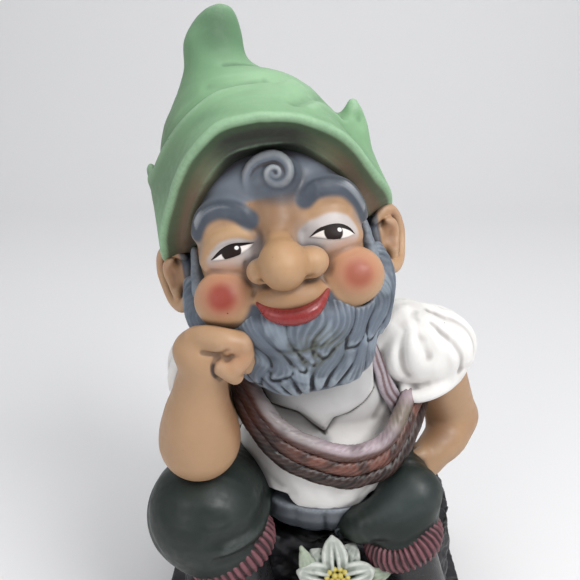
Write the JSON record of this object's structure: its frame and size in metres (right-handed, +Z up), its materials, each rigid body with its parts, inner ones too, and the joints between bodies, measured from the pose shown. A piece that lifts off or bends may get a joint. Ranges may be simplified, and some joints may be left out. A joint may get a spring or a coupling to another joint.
{
  "type": "garden gnome",
  "caption": "Seated garden gnome leaning its cheek on its fist: thumb-topped felt hat, wavy beard, rope slung over a white shirt, breeches, edelweiss on a rock.",
  "frame": {"origin": "middle of the bounding box at the height of the ground under the base", "axes": "+Z up, the gnome faces -Y, its own left is +X"},
  "size_m": [0.232, 0.2296, 0.4394],
  "materials": {
    "hat_green": "matt pale mint green paint over plastic, beige on the underside of the brim",
    "skin": "tan paint with soft red cheeks, satin",
    "hair_grey": "slate blue grey paint, lighter on the ridges, dark in the grooves",
    "shirt_white": "off-white paint with grey shading in the folds",
    "rope_brown": "dark brown paint, pinkish on the high turns",
    "strap_brown": "pinkish brown paint",
    "trouser_green": "dark grey-green satin paint",
    "band_grey": "bluish grey paint",
    "sock_red": "dull wine red paint, moulded as knitting",
    "boot_black": "black satin paint",
    "sole_black": "black paint",
    "lace_brown": "dark brown paint",
    "rock_black": "black satin paint",
    "flower_white": "white paint with grey-green shading",
    "flower_yellow": "yellow-green paint",
    "leaf_green": "grey-green paint",
    "lip_red": "bright red satin paint",
    "eye_print": "glossy printed transfer: white, dark iris, black lash line",
    "plate_grey": "bare grey plastic",
    "stopper_rubber": "bare dark rubber"
  },
  "bodies": {
    "figure": {"right_eye_transfer": "eye_print", "right_eyebrow": "hair_grey", "left_eye_transfer": "eye_print", "left_eyebrow": "hair_grey", "lower_lip": "lip_red", "forelock_curl": "hair_grey", "head_moulding": "skin", "right_ear": "skin", "left_ear": "skin", "hat": "hat_green", "back_hair": "hair_grey", "right_hand": "skin", "right_forearm": "skin", "right_upper_arm": "skin", "left_hand": "skin", "left_forearm": "skin", "left_upper_arm": "skin", "beard": "hair_grey", "rope_turn_1": "rope_brown", "rope_turn_2": "rope_brown", "rope_turn_3": "rope_brown", "fly_button": "boot_black", "waistband": "band_grey", "right_brace": "strap_brown", "right_collar": "shirt_white", "right_sleeve": "shirt_white", "left_brace": "strap_brown", "left_collar": "shirt_white", "left_sleeve": "shirt_white", "shirt_body": "shirt_white", "right_trouser_leg": "trouser_green", "left_trouser_leg": "trouser_green", "trouser_seat": "trouser_green", "right_sock_cuff": "sock_red", "right_boot_laces": "lace_brown", "right_boot_sole": "sole_black", "right_boot": "boot_black", "left_sock_cuff": "sock_red", "left_boot_laces": "lace_brown", "left_boot_sole": "sole_black", "left_boot": "boot_black", "edelweiss_heart": "flower_yellow", "edelweiss_petals": "flower_white", "right_leaf": "leaf_green", "left_leaf": "leaf_green", "edelweiss_stem": "leaf_green", "base_plate": "plate_grey", "rock": "rock_black"},
    "stopper": {"base_stopper": "stopper_rubber"}
  },
  "joints": [
    {"name": "stopper_pull", "type": "slide", "parent": "figure", "child": "stopper", "axis": [0, 0, -1], "range_m": [0, 0.03]}
  ]
}
